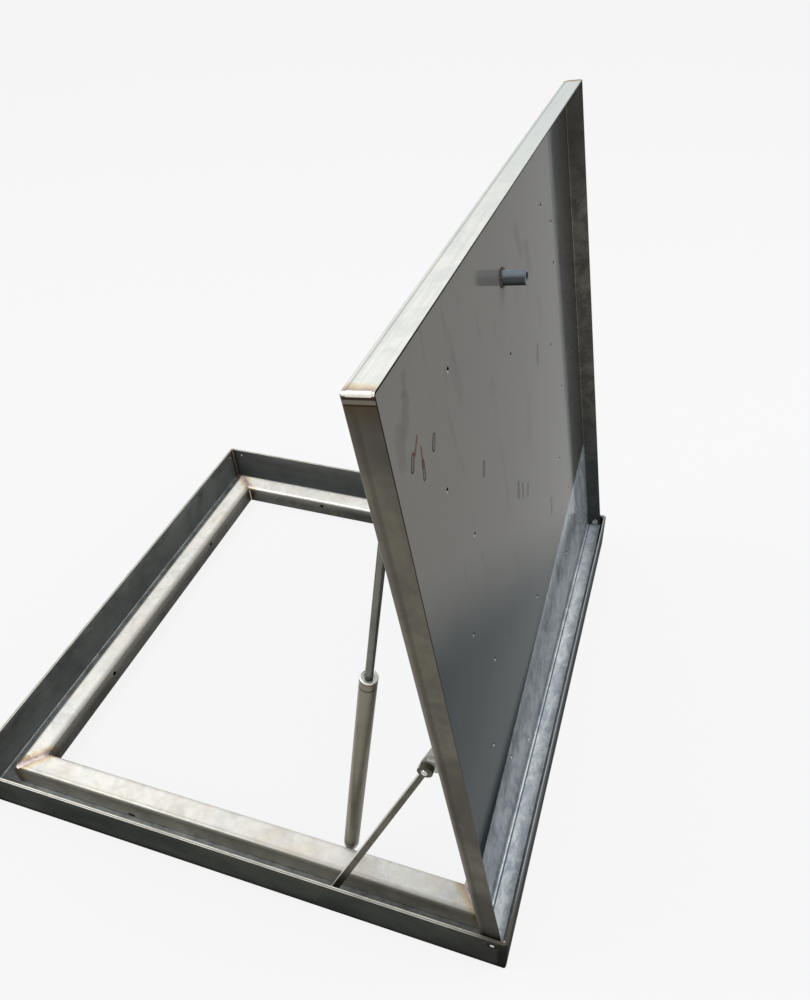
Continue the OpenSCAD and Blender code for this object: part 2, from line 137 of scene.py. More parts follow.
# how far a bead's ripples are apart, how far their crowns lean forward, and how deep a bead's edges sink
RIPPLE_PITCH = 0.0022
RIPPLE_LEAN = 0.0005
BEAD_SINK = 0.0003
# how far the beads stay clear of the tube's edges, of its top and foot, and of the tray's sharp corners
MITRE_CLEAR = 0.004
INSIDE_TOP, INSIDE_FOOT = TUBE_TOP - 0.005, 0.006
TRAY_CLEAR = 0.0012
# the ring of weld round the lifting socket: its radius, half its thickness, and how high its middle lies
SOCKET_RING = 0.0098
SOCKET_RING_SIZE = 0.0020
SOCKET_RING_HEIGHT = PAN_FLOOR + 0.0004

# the studio: its floor, how much of it glows to the eye, and the lamps' places, aims and powers in watts
FLOOR_SIZE = 30.0
FLOOR_DROP = 0.0005
FLOOR_GLOW = 0.93
PAPER = (247, 247, 247)
LAMP_SIZE = 2.4
FREE_SIDE_LAMP, FREE_SIDE_AIM, FREE_SIDE_POWER = (-2.2, -0.8, 3.2), (0, 0, 0.2), 55
HINGE_SIDE_LAMP, HINGE_SIDE_AIM, HINGE_SIDE_POWER = (2.4, 0.6, 2.8), (0, 0, 0.3), 60

# the camera: where it stands, how it turns, looks down and tilts, its lens and sensor in millimetres
CAMERA_PLACE = (0.49415, -0.85634, 1.19772)
CAMERA_TURN = math.radians(19.912)
CAMERA_DOWN = math.radians(39.837)
CAMERA_TILT = math.radians(-2.664)
LENS_LENGTH = 36.2365
SENSOR_WIDTH = 36.0
LENS_SHIFT = (-0.018027, -0.012685)


def tone(red, green, blue):
    """A colour as it looks on the finished picture, 0 to 255, as the linear colour that a shader takes."""
    return tuple(
        c / 12.92 if c <= 0.04045 else ((c + 0.055) / 1.055) ** 2.4
        for c in (red / 255, green / 255, blue / 255)
    ) + (1.0,)


def on_lid(along, across, height):
    """A place on the shut lid, measured from the hinge line, as a point of the open one."""
    return HINGE_LINE + LID_ALONG * along + ACROSS * across + LID_UPWARDS * height


# Node helpers

class Finish:
    """Short words for building a node tree."""

    def __init__(self, tree):
        self.tree = tree

    def add(self, kind, settings=None, **feeds):
        """A new node: its settings, then its inputs by name, or by number as i0, i1 and so on."""
        made = self.tree.nodes.new(kind)
        for name, value in (settings or {}).items():
            setattr(made, name, value)
        for name, value in feeds.items():
            key = int(name[1:]) if name[0] == "i" and name[1:].isdigit() else name.replace("_", " ")
            self.feed(made.inputs[key], value)
        return made

    def feed(self, socket, value):
        if isinstance(value, bpy.types.NodeSocket):
            self.tree.links.new(value, socket)
        else:
            socket.default_value = value

    def use(self, group, **feeds):
        """The outputs of a shared group, placed with its own values."""
        made = self.tree.nodes.new("ShaderNodeGroup")
        made.node_tree = group
        for name, value in feeds.items():
            self.feed(made.inputs[name.replace("_", " ")], value)
        return made.outputs

    def math(self, operation, a, b=0.0, clamp=False):
        made = self.add("ShaderNodeMath", {"operation": operation, "use_clamp": clamp}, i0=a, i1=b)
        return made.outputs[0]

    def plus(self, a, b):
        return self.math("ADD", a, b)

    def minus(self, a, b):
        return self.math("SUBTRACT", a, b)

    def times(self, *values):
        out = values[0]
        for value in values[1:]:
            out = self.math("MULTIPLY", out, value)
        return out

    def most(self, a, b):
        return self.math("MAXIMUM", a, b)

    def absolute(self, value):
        return self.math("ABSOLUTE", value)

    def vector(self, operation, a, b=(0.0, 0.0, 0.0), **feeds):
        return self.add("ShaderNodeVectorMath", {"operation": operation}, i0=a, i1=b, **feeds)

    def stretch(self, place, by):
        return self.vector("MULTIPLY", place, by).outputs[0]

    def split(self, vector):
        made = self.add("ShaderNodeSeparateXYZ", i0=vector)
        return made.outputs[0], made.outputs[1], made.outputs[2]

    def join(self, x, y, z):
        return self.add("ShaderNodeCombineXYZ", i0=x, i1=y, i2=z).outputs[0]

    def ramp(self, value, low, high, out_low=0.0, out_high=1.0):
        """out_low below low, out_high above high, and a soft turn between."""
        made = self.add(
            "ShaderNodeMapRange", {"interpolation_type": "SMOOTHSTEP"},
            i0=value, i1=low, i2=high, i3=out_low, i4=out_high,
        )
        return made.outputs[0]

    def fall(self, value, low, high):
        """1 below low, fading to 0 at high."""
        return self.ramp(value, low, high, 1.0, 0.0)

    def line(self, value, middle):
        """0 before a soft-edged line, 1 beyond it."""
        return self.ramp(value, middle - LINE_SOFTNESS, middle + LINE_SOFTNESS)

    def band(self, value, middle, half_width, soft):
        """1 within half_width of middle, fading to 0 over soft."""
        return self.fall(self.absolute(self.minus(value, middle)), half_width, half_width + soft)

    def towards(self, cosine):
        """1 where a face looks along a direction, given the cosine between the two."""
        return self.ramp(cosine, 0.45, 0.75)

    def against(self, cosine):
        """1 where a face looks the other way."""
        return self.fall(cosine, -0.75, -0.45)

    def mix(self, share, under, over, blend="MIX"):
        """One colour over another, by a share."""
        made = self.add("ShaderNodeMix", {"data_type": "RGBA", "blend_type": blend, "clamp_result": True})
        self.feed(made.inputs[0], share)
        self.feed(made.inputs[6], under)
        self.feed(made.inputs[7], over)
        return made.outputs[2]

    def stain(self, share, under, tint):
        """A colour stained by another one, which only darkens it."""
        return self.mix(share, under, self.mix(1.0, under, tint, "MULTIPLY"))

    def blend(self, share, under, over):
        """A number between two others, by a share."""
        made = self.add("ShaderNodeMix", {"data_type": "FLOAT"})
        self.feed(made.inputs[0], share)
        self.feed(made.inputs[2], under)
        self.feed(made.inputs[3], over)
        return made.outputs[0]

    def noise(self, place, scale, detail=3.0, rough=0.55, distortion=0.0):
        made = self.add(
            "ShaderNodeTexNoise", {}, Vector=place, Scale=scale, Detail=detail,
            Roughness=rough, Distortion=distortion,
        )
        return made.outputs[0]

    def colours(self, value, *stops):
        """A row of colours by value; each stop is a position and its colour."""
        made = self.add("ShaderNodeValToRGB", i0=value)
        row = made.color_ramp.elements
        row[0].position, row[0].color = stops[0]
        row[1].position, row[1].color = stops[-1]
        for position, colour in stops[1:-1]:
            row.new(position).color = colour
        return made.outputs[0]

    def seen(self):
        """1 for rays that show a thing to the eye, straight, mirrored or through glass."""
        rays = self.add("ShaderNodeLightPath").outputs
        mirrored_or_through = self.most(rays["Is Glossy Ray"], rays["Is Transmission Ray"])
        return self.most(rays["Is Camera Ray"], mirrored_or_through)


VALUE, VECTOR, COLOUR = "NodeSocketFloat", "NodeSocketVector", "NodeSocketColor"


def new_group(name, takes, gives):
    """A shared group: its tree, what it takes, where its results go, and the words to fill it."""
    tree = bpy.data.node_groups.new(name, "ShaderNodeTree")
    for label, kind, first_value in takes:
        socket = tree.interface.new_socket(name=label, in_out="INPUT", socket_type=kind)
        if first_value is not None:
            socket.default_value = first_value
    for label, kind in gives:
        tree.interface.new_socket(name=label, in_out="OUTPUT", socket_type=kind)
    given = tree.nodes.new("NodeGroupInput").outputs
    return tree, given, tree.nodes.new("NodeGroupOutput").inputs, Finish(tree)


def make_lid_place():
    """Where a point of the lid lies on the shut lid, and which way its face looks there."""
    tree, _, results, f = new_group("Place on lid", [], [
        ("Along", VALUE), ("Across", VALUE), ("Height", VALUE),
        ("Faces free edge", VALUE), ("Faces far", VALUE), ("Faces up", VALUE), ("Place", VECTOR),
    ])
    spot = f.add("ShaderNodeTexCoord").outputs

    def turned_shut(vector):
        about_hinge = {"rotation_type": "Y_AXIS"}
        return f.add("ShaderNodeVectorRotate", about_hinge, Vector=vector, Angle=-LID_OPEN).outputs[0]

    shut = turned_shut(f.vector("SUBTRACT", spot["Object"], tuple(HINGE_LINE)).outputs[0])
    x, y, z = f.split(shut)
    facing_x, facing_y, facing_z = f.split(turned_shut(spot["Normal"]))
    for name, value in (
        ("Along", f.times(x, -1.0)), ("Across", y), ("Height", z),
        ("Faces free edge", f.times(facing_x, -1.0)), ("Faces far", facing_y), ("Faces up", facing_z),
        ("Place", shut),
    ):
        f.feed(results[name], value)
    return tree


def make_frame_place():
    """Where a point of the frame lies, how far its face looks outwards, and how far off a mitre it is."""
    tree, _, results, f = new_group("Place on frame", [], [
        ("X", VALUE), ("Y", VALUE), ("Height", VALUE), ("Faces out", VALUE),
        ("Faces up", VALUE), ("From mitre", VALUE), ("Place", VECTOR),
    ])
    spot = f.add("ShaderNodeTexCoord").outputs
    x, y, z = f.split(spot["Object"])
    facing_x, facing_y, facing_z = f.split(spot["Normal"])
    outwards = f.plus(f.times(x, facing_x), f.times(y, facing_y))
    for name, value in (
        ("X", x), ("Y", y), ("Height", z), ("Faces out", f.ramp(outwards, -0.15, 0.15)),
        ("Faces up", facing_z), ("From mitre", f.absolute(f.minus(f.absolute(x), f.absolute(y)))),
        ("Place", spot["Object"]),
    ):
        f.feed(results[name], value)
    return tree


def make_brushed():
    """Fine lines left by a brush or by rolling, along one direction of the place given."""
    tree, given, results, f = new_group(
        "Brushed lines",
        [("Place", VECTOR, None), ("Lines", VECTOR, (6.0, 900.0, 900.0)), ("Depth", VALUE, 0.5)],
        [("Lines", VALUE), ("Height", VALUE)],
    )
    drawn = f.stretch(given["Place"], given["Lines"])
    fine = f.noise(drawn, 1.0, 3.0, 0.6)
    broad = f.noise(drawn, 0.23, 2.0, 0.5)
    lines = f.ramp(f.blend(0.4, fine, broad), 0.36, 0.64)
    f.feed(results["Lines"], lines)
    f.feed(results["Height"], f.times(lines, given["Depth"]))
    return tree


def make_clouds():
    """Soft blotches of a mill finish, broad ones and small ones, and fine specks."""
    tree, given, results, f = new_group(
        "Mill blotches",
        [("Place", VECTOR, None), ("Broad", VALUE, 9.0), ("Small", VALUE, 60.0)],
        [("Broad", VALUE), ("Small", VALUE), ("Specks", VALUE)],
    )
    place = given["Place"]
    f.feed(results["Broad"], f.ramp(f.noise(place, given["Broad"], 4.0, 0.6, 0.6), 0.34, 0.66))
    f.feed(results["Small"], f.ramp(f.noise(place, given["Small"], 4.0, 0.65, 0.4), 0.36, 0.68))
    f.feed(results["Specks"], f.ramp(f.noise(place, 420.0, 2.0, 0.6), 0.64, 0.74))
    return tree


def make_heat_tint():
    """Colours that welding leaves on stainless sheet: pinkish grey at the bead, then brown and straw."""
    tree, given, results, f = new_group(
        "Heat tint",
        [("Distance", VALUE, 1.0), ("Reach", VALUE, 0.02), ("Place", VECTOR, None)],
        [("Tint", COLOUR), ("Share", VALUE)],
    )
    wander = f.times(f.minus(f.noise(given["Place"], 110.0, 3.0, 0.6), 0.5), 0.7)
    share = f.plus(f.math("DIVIDE", given["Distance"], given["Reach"]), wander)
    f.feed(results["Tint"], f.colours(
        share, (0.0, tone(226, 208, 206)), (0.22, tone(206, 186, 190)), (0.36, tone(214, 192, 178)),
        (0.56, tone(244, 222, 188)), (0.80, tone(251, 243, 226)), (1.0, tone(255, 255, 255)),
    ))
    f.feed(results["Share"], f.fall(share, 0.75, 1.1))
    return tree


def make_spot():
    """A stain drawn from one place to another, with a ragged edge and a darker outline."""
    tree, given, results, f = new_group(
        "Mark",
        [("Place", VECTOR, None), ("From", VECTOR, None), ("To", VECTOR, None), ("Size", VALUE, 0.01),
         ("Ragged", VALUE, 0.3)],
        [("Mask", VALUE), ("Edge", VALUE)],
    )
    way = f.vector("SUBTRACT", given["To"], given["From"]).outputs[0]
    gone = f.vector("SUBTRACT", given["Place"], given["From"]).outputs[0]
    gone_along = f.vector("DOT_PRODUCT", gone, way).outputs["Value"]
    # a round stain has its two ends at one place, so a very small number keeps the division possible
    way_squared = f.plus(f.vector("DOT_PRODUCT", way, way).outputs["Value"], 1e-9)
    step = f.vector("SCALE", way, Scale=f.math("DIVIDE", gone_along, way_squared, clamp=True)).outputs[0]
    share = f.math("DIVIDE", f.vector("DISTANCE", gone, step).outputs["Value"], given["Size"])
    uneven = f.minus(f.noise(given["Place"], 170.0, 4.0, 0.7), 0.5)
    share = f.plus(share, f.times(uneven, given["Ragged"]))
    f.feed(results["Mask"], f.fall(share, 0.55, 1.15))
    f.feed(results["Edge"], f.band(share, 0.75, 0.08, 0.28))
    return tree


LID_PLACE = make_lid_place()
FRAME_PLACE = make_frame_place()
BRUSHED = make_brushed()
CLOUDS = make_clouds()
HEAT_TINT = make_heat_tint()
SPOT = make_spot()


# Finishes

def new_finish(name, metallic=1.0, edge=0.6, sheen=0.1):
    """A material with one shader; a low edge keeps a sheet seen from a flat angle near its own colour."""
    material = bpy.data.materials.new(name)
    material.use_nodes = True
    material.node_tree.nodes.clear()
    f = Finish(material.node_tree)
    shader = f.add("ShaderNodeBsdfPrincipled")
    out = f.add("ShaderNodeOutputMaterial")
    f.tree.links.new(shader.outputs[0], out.inputs[0])
    shader.inputs["Metallic"].default_value = metallic
    shader.inputs["Specular Tint"].default_value = (edge, edge, edge, 1.0)
    shader.inputs["Specular IOR Level"].default_value = sheen
    return material, f, shader


def raise_surface(f, shader, height, strength, distance=0.0002):
    bump = f.add("ShaderNodeBump", {}, Strength=strength, Distance=distance, Height=height)
    f.feed(shader.inputs["Normal"], bump.outputs[0])


def upstand_finish():
    """Folded stainless sheet of the frame: painted dark outside as its shaded side, grey and brushed inside,
    lined on its edge with painted highlights.
    """
    material, f, shader = new_finish("upstand sheet", metallic=0.5, edge=0.1, sheen=0.0)
    at = f.use(FRAME_PLACE)
    place, x, y = at["Place"], at["X"], at["Y"]
    out, up, height = at["Faces out"], at["Faces up"], at["Height"]
    clouds = f.use(CLOUDS, Place=place, Broad=8.0, Small=38.0)
    broad, small = clouds["Broad"], clouds["Small"]
    brush = f.use(BRUSHED, Place=place, Lines=(14.0, 14.0, 700.0), Depth=1.0)
    side_start, side_end = HALF_FRAME - 0.015, HALF_FRAME - 0.010
    hinge_side = f.ramp(x, side_start, side_end)
    far_side = f.ramp(y, side_start, side_end)
    # inner faces, with painted light at their foot and painted shade at the far and the hinge side
    inside = f.mix(broad, tone(92, 95, 95), tone(132, 135, 134))
    inside = f.mix(f.times(small, 0.30), inside, tone(158, 161, 161))
    inside = f.mix(f.ramp(height, 0.035, UPSTAND_TOP - 0.008, 0.35, 0.0), inside, tone(176, 180, 178))
    inside = f.mix(f.times(far_side, 0.6), inside, tone(98, 99, 97))
    inside = f.mix(f.times(hinge_side, 0.7), inside, tone(64, 68, 70))
    # outer faces, painted dark as the shaded side, with painted shade at the foot and towards the hinge side
    # and painted light near the top
    outside = f.mix(broad, tone(70, 73, 71), tone(86, 88, 83))
    outside = f.mix(f.times(hinge_side, 0.8), outside, tone(34, 36, 36))
    outside = f.mix(f.ramp(height, 0.050, UPSTAND_TOP - 0.002, 0.0, 0.35), outside, tone(92, 92, 86))
    outside = f.mix(f.ramp(x, 0.30, HALF_FRAME - 0.005, 0.0, 0.45), outside, tone(44, 42, 40))
    outside = f.mix(f.ramp(height, 0.002, 0.022, 0.8, 0.0), outside, tone(18, 19, 18))
    # the dark outside is painted shade, chosen by the way a face looks
    colour = f.mix(out, inside, outside)
    # the ledge looks up and is painted bright, with painted shade at the near side
    ledge = f.mix(small, tone(172, 177, 178), tone(132, 138, 140))
    near_ledge_shade = f.ramp(y, -TUBE_OUTSIDE - 0.009, -TUBE_OUTSIDE + 0.001, 0.75, 0.0)
    ledge = f.mix(near_ledge_shade, ledge, tone(112, 110, 102))
    colour = f.mix(f.times(f.ramp(up, 0.4, 0.9), f.fall(height, 0.02, 0.03)), colour, ledge)
    # the cut edge: a painted highlight, a dark hairline, a painted highlight again; grey with a painted
    # highlight line at the hinge side, and painted shade at the near right
    depth_in = f.minus(HALF_FRAME, f.most(f.absolute(x), f.absolute(y)))
    edge = f.mix(f.band(depth_in, 0.0017, 0.0003, 0.0004), tone(226, 224, 216), tone(96, 94, 88))
    edge = f.mix(f.ramp(small, 0.2, 0.9, 0.0, 0.45), edge, tone(170, 166, 156))
    edge_hinge = f.mix(f.band(depth_in, 0.0030, 0.0005, 0.0004), tone(104, 108, 111), tone(182, 187, 190))
    edge = f.mix(hinge_side, edge, edge_hinge)
    near_right_shade = f.times(f.ramp(x, 0.350, 0.424), f.ramp(y, -0.30, -0.42))
    edge = f.mix(near_right_shade, edge, tone(92, 88, 80))
    on_edge = f.times(f.ramp(height, UPSTAND_TOP - 0.0015, UPSTAND_TOP - 0.0005), f.ramp(up, 0.5, 0.9))
    colour = f.mix(on_edge, colour, edge)
    # heat tint beside the corner welds, brushed lines over all, and painted shade of the hole round the
    # hinge pin
    tint = f.use(HEAT_TINT, Distance=at["From mitre"], Reach=0.014, Place=place)
    colour = f.stain(f.times(tint["Share"], f.minus(1.0, out), 0.85), colour, tint["Tint"])
    colour = f.mix(f.times(brush["Lines"], 0.14), colour, tone(34, 36, 36))
    pin_hole_shade = f.use(SPOT, Place=place, From=PIN_END, To=PIN_END, Size=PIN_SHADE_SIZE, Ragged=1.2)
    colour = f.mix(f.times(pin_hole_shade["Mask"], 0.85), colour, tone(16, 14, 13))
    f.feed(shader.inputs["Base Color"], colour)
    f.feed(shader.inputs["Roughness"], f.blend(broad, 0.31, 0.37))
    raise_surface(f, shader, f.blend(0.5, brush["Height"], small), 0.05)
    return material


def tube_finish():
    """Box tube with a mottled top painted nearly white as its lit side, turning softly into sides painted
    darker as shaded sides.
    """
    material, f, shader = new_finish("box tube", metallic=0.45)
    at = f.use(FRAME_PLACE)
    place, x, y = at["Place"], at["X"], at["Y"]
    out, up, height = at["Faces out"], at["Faces up"], at["Height"]
    clouds = f.use(CLOUDS, Place=place, Broad=13.0, Small=70.0)
    broad, small = clouds["Broad"], clouds["Small"]
    brush = f.use(BRUSHED, Place=place, Lines=(90.0, 90.0, 240.0), Depth=1.0)
    # the top: cloudy white as painted light, with a bluish and a yellowish bloom, and faint smears
    top = f.mix(broad, tone(250, 250, 246), tone(238, 236, 230))
    top = f.mix(f.times(small, 0.55), top, tone(226, 225, 218))
    bloom = f.colours(
        f.noise(place, 15.0, 2.0, 0.5, 0.8), (0.32, tone(236, 240, 242)), (0.44, tone(250, 250, 247)),
        (0.55, tone(250, 247, 240)), (0.62, tone(242, 234, 234)), (0.70, tone(246, 238, 222)),
    )
    top = f.mix(0.6, top, bloom, "MULTIPLY")
    smear = f.noise(f.stretch(place, (22.0, 22.0, 22.0)), 1.0, 3.0, 0.6, 1.8)
    top = f.mix(f.ramp(smear, 0.50, 0.66, 0.0, 0.35), top, tone(196, 194, 186))
    # the sides: painted shade inwards, painted light outwards, and more painted light towards the rounded
    # upper edge
    side_in = f.mix(broad, tone(60, 60, 56), tone(84, 84, 80))
    side_out = f.mix(broad, tone(186, 184, 170), tone(226, 222, 206))
    side = f.mix(out, side_in, side_out)
    side = f.mix(f.ramp(height, TUBE_TOP / 2, TUBE_TOP - 0.004, 0.0, 0.25), side, tone(170, 167, 156))
    # painted shade on the top towards its outer edge at the near side, and towards its inner edge at the
    # free side
    ring = f.most(f.absolute(x), f.absolute(y))
    near_or_far = f.math("GREATER_THAN", ring, f.plus(f.absolute(x), 0.0001))
    free_or_hinge = f.math("GREATER_THAN", ring, f.plus(f.absolute(y), 0.0001))
    side_start, side_end = -TUBE_INSIDE + 0.006, -TUBE_INSIDE - 0.001
    near_edge_shade = f.times(
        f.ramp(ring, TUBE_OUTSIDE - 0.012, TUBE_OUTSIDE - 0.002),
        f.ramp(y, side_start, side_end), near_or_far,
    )
    free_edge_shade = f.times(
        f.fall(ring, TUBE_INSIDE + 0.001, TUBE_INSIDE + 0.014),
        f.ramp(x, side_start, side_end), free_or_hinge,
    )
    top = f.mix(f.times(f.most(near_edge_shade, free_edge_shade), 0.75), top, tone(128, 126, 116))
    # the lit top and the shaded sides by the way a face looks, and painted shade on the outer rounded edge
    colour = f.mix(f.blend(out, f.ramp(up, 0.10, 0.92), f.ramp(up, 0.45, 0.99)), side, top)
    colour = f.mix(f.times(f.band(up, 0.55, 0.25, 0.20), out, 0.6), colour, tone(112, 110, 100))
    # painted shade inside the tube, and in the walls of its holes
    from_middle = f.absolute(f.minus(ring, TUBE_MIDDLE))

    def within(half_width, lowest, highest):
        return f.times(
            f.math("LESS_THAN", from_middle, half_width),
            f.math("LESS_THAN", height, highest), f.math("GREATER_THAN", height, lowest),
        )

    inside_tube = within(0.0176, 0.0024, 0.0376)
    in_walls = within(0.0198, 0.0030, 0.0325)
    hollow_shade = f.most(inside_tube, in_walls)
    # heat tint at the mitres, one rust mark, and painted shade in the drain slot
    tint = f.use(HEAT_TINT, Distance=at["From mitre"], Reach=0.022, Place=place)
    colour = f.stain(f.times(tint["Share"], 0.9), colour, tint["Tint"])
    rust = f.use(SPOT, Place=place, From=RUST_FROM, To=RUST_TO, Size=RUST_SIZE, Ragged=1.2)
    colour = f.mix(f.times(rust["Mask"], 0.55), colour, tone(150, 112, 78))
    slot = f.use(SPOT, Place=place, From=SLOT_FROM, To=SLOT_TO, Size=SLOT_SIZE, Ragged=0.0)
    colour = f.mix(f.most(hollow_shade, slot["Mask"]), colour, tone(8, 8, 8))
    f.feed(shader.inputs["Base Color"], colour)
    f.feed(shader.inputs["Roughness"], f.blend(broad, 0.31, 0.37))
    raise_surface(f, shader, f.blend(0.4, small, brush["Height"]), 0.04)
    return material


def tray_floor(f, at, broad):
    """The tray's floor: a painted reflection, warm grey at the free edge and cooler and darker beyond, with
    painted reflections of the walls, and stains from welding.
    """
    along, across, height, place = at["Along"], at["Across"], at["Height"], at["Place"]
    # painted reflection: warm grey towards the free edge, cooler and darker beyond a slanting line
    slant = f.plus(along, f.times(across, FLOOR_SLANT))
    floor = f.mix(f.ramp(slant, *FLOOR_REFLECTION_TURN), tone(52, 60, 63), tone(112, 111, 108))
    cloudy = f.times(broad, f.ramp(slant, *FLOOR_REFLECTION_TURN, 0.05, 0.18))
    floor = f.mix(cloudy, floor, tone(118, 118, 113))
    # a greyer painted reflection of the far wall on the floor beside it
    far_wall_reflection = f.mix(f.ramp(across, 0.29, 0.41), tone(88, 90, 92), tone(66, 65, 62))
    floor = f.mix(f.line(across, FAR_REFLECTION_START), floor, far_wall_reflection)
    # long smudges that run across the floor
    smudge = f.noise(f.stretch(place, (7.0, 30.0, 7.0)), 1.0, 5.0, 0.62, 0.6)
    floor = f.mix(f.times(f.ramp(smudge, 0.58, 0.72), 0.34), floor, tone(84, 83, 80))
    # a mottled painted reflection of the hinge wall lies over the floor beside it
    swirl = f.noise(f.join(f.times(along, 16.0), f.times(across, 26.0), height), 1.0, 5.0, 0.68, 1.1)
    hinge_wall_reflection = f.mix(f.ramp(swirl, 0.34, 0.66), tone(128, 135, 141), tone(178, 186, 192))
    hinge_wall_reflection = f.mix(f.ramp(across, -0.42, 0.0, 0.0, 0.35), hinge_wall_reflection, tone(128, 134, 139))
    beyond_hinge_reflection = f.line(f.minus(along, f.times(across, HINGE_REFLECTION_SLANT)), HINGE_REFLECTION_END)
    floor = f.mix(beyond_hinge_reflection, hinge_wall_reflection, floor)
    for first, last, size, dark, share, ragged in FLOOR_MARKS:
        mark = f.use(
            SPOT, Place=place, From=(-first[0], first[1], PAN_FLOOR), To=(-last[0], last[1], PAN_FLOOR),
            Size=size, Ragged=ragged,
        )
        filled = {SMUDGE: 0.6, RUST: 1.0}.get(dark, 0.4)
        floor = f.mix(f.times(mark["Mask"], share * filled), floor, tone(*dark))
        if dark in (BROWN, SOOT):
            floor = f.mix(f.times(mark["Edge"], min(1.0, share * 1.25)), floor, tone(*dark))
    return floor


def tray_near_wall(f, at, broad, small):
    """The near wall, a shaded side painted dark: a painted highlight on its fold, a dark band, painted shade
    at the hinge end, and a brown free end with a dark mitre line.
    """
    along, height = at["Along"], at["Height"]
    wall = f.mix(broad, tone(78, 76, 69), tone(104, 100, 90))
    wall = f.mix(f.times(small, 0.35), wall, tone(72, 69, 61))
    # a painted highlight along the fold
    fold = f.times(f.fall(height, -0.0140, -0.0115), f.ramp(along, 0.40, 0.75, 0.35, 0.05))
    wall = f.mix(fold, wall, tone(150, 147, 138))
    wall = f.mix(f.times(f.band(height, -0.0085, 0.0012, 0.0020), 0.35), wall, tone(60, 58, 52))
    # painted shade towards the hinge end
    wall = f.mix(f.ramp(along, 0.0, 0.17, 0.75, 0.0), wall, tone(56, 55, 51))
    wall = f.mix(f.ramp(along, 0.795, 0.822, 0.0, 0.6), wall, tone(72, 60, 46))
    # a painted highlight on the corner's rounding, beside the dark mitre line
    wall = f.mix(f.times(f.band(along, 0.8262, 0.0014, 0.0008), 0.6), wall, tone(134, 134, 130))
    return f.mix(f.times(f.band(along, 0.8236, 0.0005, 0.0005), 0.85), wall, tone(58, 40, 28))


def tray_far_wall(f, at, broad, small):
    """The far wall seen from inside, painted dark as a shaded side, with more painted shade towards both of
    its ends.
    """
    along = at["Along"]
    wall = f.mix(small, tone(92, 90, 85), tone(128, 125, 117))
    wall = f.mix(f.times(broad, 0.5), wall, tone(100, 97, 91))
    wall = f.mix(f.ramp(along, 0.10, 0.44, 0.8, 0.0), wall, tone(66, 70, 71))
    return f.mix(f.ramp(along, 0.64, 0.76, 0.0, 0.6), wall, tone(76, 75, 71))


def tray_free_wall(f, at, small):
    """The free wall, painted pale as a lit side, with long streaks, and a grey line of painted shade along
    its fold.
    """
    across, height = at["Across"], at["Height"]
    wall = f.mix(f.times(small, 0.8), tone(236, 236, 230), tone(214, 217, 214))
    wall = f.mix(f.ramp(across, -0.25, 0.30, 0.0, 0.5), wall, tone(200, 211, 213))
    streak = f.noise(f.join(f.times(across, 9.0), f.times(height, 260.0), 0.0), 1.0, 3.0, 0.6, 0.5)
    wall = f.mix(f.ramp(streak, 0.48, 0.62, 0.0, 0.4), wall, tone(206, 211, 212))
    return f.mix(f.times(f.band(height, -0.0122, 0.0007, 0.0006), 0.6), wall, tone(158, 160, 156))


def tray_hinge_wall(f, at):
    """The hinge wall: a bluish, mottled painted reflection, greyer at its far end, with a dark hairline of
    painted shade along its fold.
    """
    across, height = at["Across"], at["Height"]
    swirl = f.noise(f.join(f.times(across, 24.0), f.times(height, 42.0), 0.0), 1.0, 5.0, 0.62, 1.4)
    wall = f.mix(f.ramp(swirl, 0.34, 0.66), tone(190, 201, 209), tone(250, 254, 255))
    wall = f.mix(f.ramp(across, 0.18, 0.40, 0.0, 0.55), wall, tone(150, 160, 168))
    return f.mix(f.band(height, -0.0118, 0.0007, 0.0006), wall, tone(92, 100, 108))


